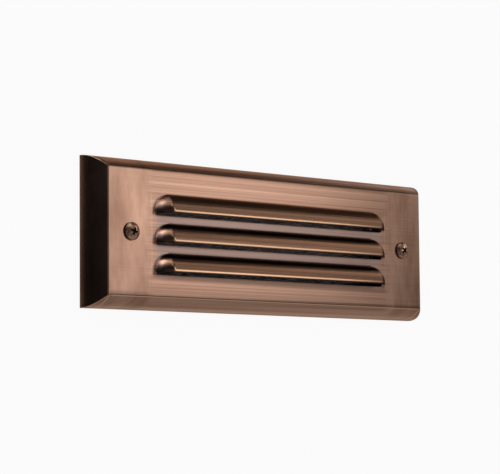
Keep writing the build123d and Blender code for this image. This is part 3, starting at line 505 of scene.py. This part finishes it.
def screw_bronze():
    """Dark lacquered bronze, nearly black down in the cross recess, with painted shade round the rim and
    on the lower left.
    """
    n = Nodes("dark_bronze")
    x, y, z = n.axes(n.place)
    # how far out a point is from its screw's axis, squared, and how far in from the dome
    off = n.math("SUBTRACT", n.math("ABSOLUTE", x), SCREW_X)
    square = n.math("ADD", n.math("POWER", off, 2.0), n.math("POWER", z, 2.0))
    rest = n.math("SQRT", n.math("SUBTRACT", SCREW_DOME_R**2, square))
    dome = n.math("ADD", n.math("SUBTRACT", SCREW_DOME_R, rest), SCREW_CROWN)
    recess = n.rise(n.math("SUBTRACT", y, dome), RECESS_DEPTH)
    recess = n.times(recess, n.math("LESS_THAN", square, RECESS_R**2))
    turned = n.noise(TURNED, detail=3.0)
    bronze = n.mix(n.rise(turned, TURNED_SPREAD), *BRONZE)
    # painted shade round the rim of each head
    rim_shade = n.rise(square, [radius**2 for radius in RIM_SHADE_FROM])
    bronze = n.mix(n.times(rim_shade, RIM_SHADE_SHARE), bronze, BRONZE_RIM_SHADE)
    # painted shade on the lower left of each head, broken up by the turned grain
    across = n.times(off, n.math("SIGN", x))
    low_left_shade = n.math("ADD", across, n.times(z, LOW_LEFT_LEAN))
    low_left_shade = n.fall(low_left_shade, LOW_LEFT_TO, LOW_LEFT_SHARE)
    low_left_shade = n.times(low_left_shade, n.ramp(turned, LOW_LEFT_SPREAD, LOW_LEFT_RANGE))
    bronze = n.mix(low_left_shade, bronze, BRONZE_LOW_LEFT_SHADE)
    rounded, worn = n.edges(SCREW_EDGE_RADIUS)
    bronze = n.mix(n.times(worn, SCREW_EDGE_SHARE), bronze, BRONZE_WORN)
    bronze = n.mix(recess, bronze, BRONZE_RECESS)
    n.set(Base_Color=bronze, Metallic=1.0, Roughness=n.blend(recess, SCREW_ROUGH, RECESS_ROUGH))
    n.set(Normal=n.bump(turned, TURNED_DEEP, strength=0.7, normal=rounded))
    n.set(Coat_Weight=0.08, Coat_Roughness=0.08)
    return n.material


# ---- the other finishes ----------------------------------------------------------------------
GRAIN = (400.0, 400.0, 400.0)
GRAIN_DEEP = 0.00003
CLOUDS = (30.0, 30.0, 30.0)
NOISE_SPREAD = (0.3, 0.7)
DARKER = 0.82
LIGHTER = 1.12
GLOSS_RANGE = 0.06


def plain(name, color, metallic=0.0, roughness=0.5, grain=GRAIN, depth=GRAIN_DEEP, **more):
    """A finish with a little variation in its colour and gloss, and a fine grain."""
    n = Nodes(name)
    fine = n.noise(grain, detail=4.0)
    broad = n.noise(CLOUDS, detail=2.0)
    dark = rgb(*[DARKER * c for c in color])
    light = rgb(*[min(1.0, LIGHTER * c) for c in color])
    gloss = span(roughness, -GLOSS_RANGE, GLOSS_RANGE)
    n.set(Base_Color=n.mix(n.rise(broad, NOISE_SPREAD), dark, light), Metallic=metallic)
    n.set(Roughness=n.ramp(fine, NOISE_SPREAD, gloss))
    n.set(Normal=n.bump(fine, depth, strength=0.5))
    n.set(**more)
    return n.material


FROSTED = dict(grain=(2500.0,) * 3, depth=0.000002, Transmission_Weight=0.85, IOR=1.5)
CLEAR = dict(depth=0.0, Transmission_Weight=1.0, IOR=1.47)
FINISHES = {
    "black_nylon": dict(color=(0.02, 0.02, 0.02), roughness=0.5),
    "foam_rubber": dict(color=(0.03, 0.03, 0.03), roughness=0.85, depth=0.0002),
    "moulded_black": dict(color=(0.05, 0.05, 0.052), roughness=0.42, grain=(900.0,) * 3, depth=0.00008),
    "brass": dict(color=(0.72, 0.52, 0.22), metallic=1.0, roughness=0.3),
    "silicone": dict(color=(0.42, 0.42, 0.40), roughness=0.55),
    "frosted_glass": dict(color=(0.86, 0.70, 0.69), roughness=0.45, **FROSTED),
    "pressed_steel": dict(color=(0.55, 0.55, 0.56), metallic=1.0, roughness=0.32),
    "zinc_screws": dict(color=(0.62, 0.62, 0.60), metallic=1.0, roughness=0.28),
    "bright_aluminium": dict(color=(0.85, 0.85, 0.86), metallic=1.0, roughness=0.2),
    "clear_glass": dict(color=(0.97, 0.98, 0.98), roughness=0.06, **CLEAR),
    "tungsten": dict(color=(0.35, 0.34, 0.33), metallic=1.0, roughness=0.35),
    "bare_copper": dict(color=(0.80, 0.45, 0.30), metallic=1.0, roughness=0.3),
    "socket_plastic": dict(color=(0.72, 0.70, 0.64), roughness=0.5),
    "spring_bronze": dict(color=(0.60, 0.40, 0.20), metallic=1.0, roughness=0.3),
    "zinc_plate": dict(color=(0.60, 0.60, 0.61), metallic=1.0, roughness=0.35),
    "white_nylon": dict(color=(0.80, 0.79, 0.75), roughness=0.42),
    "red_insulation": dict(color=(0.50, 0.03, 0.025), roughness=0.35),
    "black_insulation": dict(color=(0.02, 0.02, 0.02), roughness=0.35),
    "gland_nylon": dict(color=(0.04, 0.04, 0.042), roughness=0.42),
    "gland_rubber": dict(color=(0.03, 0.03, 0.03), roughness=0.7),
}

MATERIALS = {"antique_copper": antique_copper(), "dark_bronze": screw_bronze()}
for name, finish in FINISHES.items():
    MATERIALS[name] = plain(name, **finish)

for subpart in frame["record"]["subparts"]:
    node = frame["nodes"][subpart["node"]]
    node.data.materials.clear()
    node.data.materials.append(MATERIALS[subpart["material_slot"]])


# ---- cover screws: domed, cross-recessed and threaded ----------------------------------------
SCREW_HEAD_R = 0.00455
SCREW_SEAT = -0.0160
SCREW_SHANK_R = 0.00195
SCREW_TIP_LONG = 0.0016
SCREW_TIP_SHARE = 0.5
THREAD_PITCH = 0.0007
THREAD_DEEP = 0.00034
THREAD_FROM = 0.0030
RINGS_A_TURN = 6
DOME_RINGS = 14
# an odd number of sides, which keeps the skin's edges off the recess's, so that the cut is clean
AROUND = 41
CROSS_LONG = 0.0057
CROSS_WIDE = 0.0016
CROSS_DEEP = 0.0012
# an arm's two ends, as shares of its depth and of its width
CROSS_OUTER = (-0.9, 1.1)
CROSS_INNER = (1.0, 0.6)
SECOND_ARM = 0.97
# the round middle of the recess, as rings of place and radius
CROSS_EYE = ((SCREW_CROWN - 0.0010, 0.00131), (SCREW_CROWN + 0.0015, 0.0005))
EYE_AROUND = 16
SHARP_ANGLE = math.radians(35)


def solid_mesh(name, spots, faces):
    """A closed mesh whose faces all look outward."""
    mesh = bpy.data.meshes.new(name)
    mesh.from_pydata(spots, [], faces)
    work = bmesh.new()
    work.from_mesh(mesh)
    bmesh.ops.recalc_face_normals(work, faces=work.faces)
    work.to_mesh(mesh)
    work.free()
    return mesh


def rings_mesh(name, rings, around):
    """A closed skin along Y through rings of (place, radius), the radius a number or found by angle."""
    spots, faces = [], []
    for place, radius in rings:
        for i in range(around):
            turn = 2 * math.pi * i / around
            r = radius(turn) if callable(radius) else radius
            spots.append((r * math.cos(turn), place, r * math.sin(turn)))
    for k in range(len(rings) - 1):
        for i in range(around):
            j = (i + 1) % around
            faces.append((k * around + i, (k + 1) * around + i, (k + 1) * around + j, k * around + j))
    last = (len(rings) - 1) * around
    faces.append(tuple(range(around)))
    faces.append(tuple(last + i for i in reversed(range(around))))
    return solid_mesh(name, spots, faces)


def cut_away(mesh, cutters):
    """The mesh less each cutter's mesh, shaded smooth but for its sharp edges."""
    target = bpy.data.objects.new("target", mesh)
    bpy.context.scene.collection.objects.link(target)
    for cutter_mesh in cutters:
        cutter = bpy.data.objects.new("cutter", cutter_mesh)
        bpy.context.scene.collection.objects.link(cutter)
        cut = target.modifiers.new("cut", "BOOLEAN")
        cut.operation = "DIFFERENCE"
        cut.solver = "EXACT"
        cut.object = cutter
    bpy.context.view_layer.update()
    result = bpy.data.meshes.new_from_object(target.evaluated_get(bpy.context.evaluated_depsgraph_get()))
    for cut in list(target.modifiers):
        bpy.data.objects.remove(cut.object)
    bpy.data.objects.remove(target)
    result.shade_smooth()
    result.set_sharp_from_angle(angle=SHARP_ANGLE)
    return result


def cross_arm(turn, deep):
    """One arm of the cross recess: a bar that narrows as it goes in, leaning clockwise by turn."""
    spots = []
    for depth, share in (CROSS_OUTER, CROSS_INNER):
        for u, v in ((-1, -1), (1, -1), (1, 1), (-1, 1)):
            along, over = u * CROSS_WIDE / 2 * share, v * CROSS_LONG / 2 * share
            x = along * math.cos(turn) + over * math.sin(turn)
            z = over * math.cos(turn) - along * math.sin(turn)
            spots.append((x, SCREW_CROWN + depth * deep, z))
    faces = [(0, 1, 2, 3), (7, 6, 5, 4), (0, 4, 5, 1), (1, 5, 6, 2), (2, 6, 7, 3), (3, 7, 4, 0)]
    return solid_mesh("arm", spots, faces)


def thread_radius(place, end):
    """The shank's radius at a depth, by the angle: a ridge that climbs a pitch each turn."""
    grown = min(1.0, max(0.0, (place - SCREW_SEAT - THREAD_FROM) / THREAD_PITCH))
    tip = min(1.0, (end - place) / SCREW_TIP_LONG)
    top = SCREW_SHANK_R * (SCREW_TIP_SHARE + (1 - SCREW_TIP_SHARE) * tip)

    def radius(angle):
        phase = (place / THREAD_PITCH + angle / (2 * math.pi)) % 1.0
        return top - THREAD_DEEP * grown * tip * (1 - abs(2 * phase - 1))

    return radius


def screw_rings(end):
    """The screw's rings, from its dome to the end of its thread."""
    widest = math.asin(SCREW_HEAD_R / SCREW_DOME_R)
    rings = []
    for i in range(1, DOME_RINGS + 1):
        lean = widest * i / DOME_RINGS
        drop = SCREW_DOME_R * (1 - math.cos(lean))
        rings.append((SCREW_CROWN + drop, SCREW_DOME_R * math.sin(lean)))
    rings.append((SCREW_SEAT, SCREW_HEAD_R))
    rings.append((SCREW_SEAT, SCREW_SHANK_R))
    count = int((end - SCREW_SEAT) / THREAD_PITCH * RINGS_A_TURN)
    for k in range(1, count + 1):
        place = SCREW_SEAT + (end - SCREW_SEAT) * k / count
        rings.append((place, thread_radius(place, end)))
    return rings


def add_piece(name, mesh, body, slot, node):
    """A piece that rides on a body in place of a node, with the material of its slot."""
    piece = bpy.data.objects.new(name, mesh)
    bpy.context.scene.collection.objects.link(piece)
    mesh.materials.append(MATERIALS[slot])
    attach(piece, body)
    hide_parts(node)


def make_cover_screw(name, node, body, side, turn):
    """A cover screw on the side -1 or 1, with its cross recess turned as it was last driven."""
    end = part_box(node)[1][1]
    # the arms aren't equally deep, so that their floors don't lie in one plane
    first_arm = cross_arm(turn, CROSS_DEEP)
    second_arm = cross_arm(turn + math.pi / 2, SECOND_ARM * CROSS_DEEP)
    eye = rings_mesh("eye", CROSS_EYE, EYE_AROUND)
    mesh = cut_away(rings_mesh(name, screw_rings(end), AROUND), [first_arm, second_arm, eye])
    mesh.transform(Matrix.Translation((side * SCREW_X, 0, 0)))
    add_piece(name, mesh, body, "dark_bronze", node)


make_cover_screw("cross_screw_left", "cover_screw_left", "left_screw", -1, math.radians(17))
make_cover_screw("cross_screw_right", "cover_screw_right", "right_screw", 1, math.radians(41.3))

# ---- wall round the recess, lamps and cards --------------------------------------------------
WALL_HALF = 3.0
RECESS_HALF = (0.103, 0.030)
WALL_PAINT = rgb(0.9, 0.9, 0.9)
WALL_ROUGH = 0.9
WALL_GLOW = 0.93
WORLD_DIFFUSE = 0.45
CARD_RADIUS = 2.0
LOW_CARD_RADIUS = 1.9
CARD_STEPS = 12


def direction(azimuth, elevation):
    """The unit vector towards an azimuth and an elevation. Azimuth 0 is straight in front."""
    turn, lift = math.radians(azimuth), math.radians(elevation)
    flat = math.cos(lift)
    return Vector((flat * math.sin(turn), -flat * math.cos(turn), math.sin(lift)))


def link_stage(name, mesh, material):
    """A piece of the stage, which the visual model leaves out."""
    mesh.materials.append(material)
    piece = bpy.data.objects.new(name, mesh)
    bpy.context.scene.collection.objects.link(piece)
    return piece


def wall_paint():
    """White to the camera, reflections and see-through parts, paint to light, and clear from behind."""
    n = Nodes("wall_paint")
    n.set(Base_Color=WALL_PAINT, Roughness=WALL_ROUGH)
    path = n.add("ShaderNodeLightPath").outputs
    seen = n.most(path["Is Camera Ray"], path["Is Glossy Ray"], path["Is Transmission Ray"])
    front = n.shaders(n.times(seen, WALL_GLOW), n.shader.outputs[0], n.glow())
    clear = n.add("ShaderNodeBsdfTransparent").outputs[0]
    n.link(n.shaders(n.geometry("Backfacing"), front, clear), n.surface)
    return n.material


def make_wall():
    """A wall with an opening for the recess that the box sits in."""
    corners = []
    for across, up in ((WALL_HALF, WALL_HALF), RECESS_HALF):
        corners += [(-across, 0.0, -up), (across, 0.0, -up), (across, 0.0, up), (-across, 0.0, up)]
    sides = [(i, (i + 1) % 4, 4 + (i + 1) % 4, 4 + i) for i in range(4)]
    mesh = bpy.data.meshes.new("wall")
    mesh.from_pydata(corners, [], sides)
    wall = link_stage("wall", mesh, wall_paint())
    wall.visible_glossy = False


def make_card(name, azimuths, elevations, level, radius=CARD_RADIUS, tint=(1, 1, 1)):
    """A card on a sphere round the light, seen only in reflections."""
    spots = []
    for i in range(CARD_STEPS + 1):
        for j in range(CARD_STEPS + 1):
            azimuth = azimuths[0] + (azimuths[1] - azimuths[0]) * i / CARD_STEPS
            elevation = elevations[0] + (elevations[1] - elevations[0]) * j / CARD_STEPS
            spots.append(radius * direction(azimuth, elevation))
    row = CARD_STEPS + 1
    faces = [
        (i * row + j, i * row + j + 1, (i + 1) * row + j + 1, (i + 1) * row + j)
        for i in range(CARD_STEPS)
        for j in range(CARD_STEPS)
    ]
    mesh = bpy.data.meshes.new(name)
    mesh.from_pydata(spots, [], faces)
    n = Nodes(name)
    n.link(n.glow(level, tint), n.surface)
    card = link_stage(name, mesh, n.material)
    card.visible_camera = False
    card.visible_diffuse = False
    card.visible_transmission = False
    card.visible_shadow = False


def make_lamp(name, aim_at, distance, size, radiance, shift=(0.0, 0.0), roll=0.0, tint=(1, 1, 1)):
    """A soft box square to an azimuth and elevation, slid sideways and up by shift, then rolled.

    Its power follows from its size and how bright it looks.
    """
    width, height = size
    data = bpy.data.lights.new(name, "AREA")
    data.shape = "RECTANGLE"
    data.size = width
    data.size_y = height
    data.energy = math.pi * width * height * radiance
    data.color = tint
    lamp = bpy.data.objects.new(name, data)
    bpy.context.scene.collection.objects.link(lamp)
    place = distance * direction(*aim_at)
    aim = (-place).to_track_quat("-Z", "Y").to_matrix().to_4x4()
    slide = Matrix.Translation((shift[0], shift[1], 0.0))
    rolled = Matrix.Rotation(math.radians(roll), 4, "Z")
    lamp.matrix_world = Matrix.Translation(place) @ aim @ slide @ rolled
    lamp.visible_camera = False


def make_world():
    """White where the camera, a reflection or a see-through part looks at it, softer as a light."""
    world = bpy.data.worlds.new("studio")
    bpy.context.scene.world = world
    world.use_nodes = True
    tree = world.node_tree
    background = tree.nodes["Background"]
    background.inputs["Color"].default_value = rgb(1, 1, 1)
    path = tree.nodes.new("ShaderNodeLightPath")
    level = None
    for ray in ("Is Camera Ray", "Is Glossy Ray", "Is Transmission Ray"):
        most = tree.nodes.new("ShaderNodeMath")
        most.operation = "MAXIMUM"
        most.inputs[1].default_value = WORLD_DIFFUSE
        tree.links.new(path.outputs[ray], most.inputs[0])
        if level is not None:
            tree.links.new(level, most.inputs[1])
        level = most.outputs[0]
    tree.links.new(level, background.inputs["Strength"])


make_camera()
make_wall()
make_world()
make_lamp("key", (43, 5), 0.6, size=(0.262, 0.185), radiance=1.85, shift=(-0.094, 0.027), roll=17)
make_lamp("fill", (-78, 50), 1.0, size=(0.45, 0.65), radiance=4.4, tint=(0.62, 0.74, 1.0))
make_card("dark_left", (-140, -46), (-60, 40), level=0.006)
make_card("dark_ahead", (-46, 22), (14, 40), level=0.03)
make_card("grey_ahead", (-46, 22), (-60, 14), level=0.36)
make_card("grey_right", (22, 100), (-28, 16), level=0.16)
make_card("dark_middle", (22, 36), (16, 36), level=0.02)
make_card("grey_above_key", (36, 100), (16, 36), level=0.75)
make_card("dark_above_right", (22, 124), (36, 80), level=0.02)
make_card("pale_behind", (124, 180), (-20, 70), level=0.45, tint=(1.0, 0.76, 0.62))
make_card("grey_below", (-180, 180), (-88, -28), level=0.66, radius=LOW_CARD_RADIUS)

bpy.context.scene.view_settings.view_transform = "Standard"
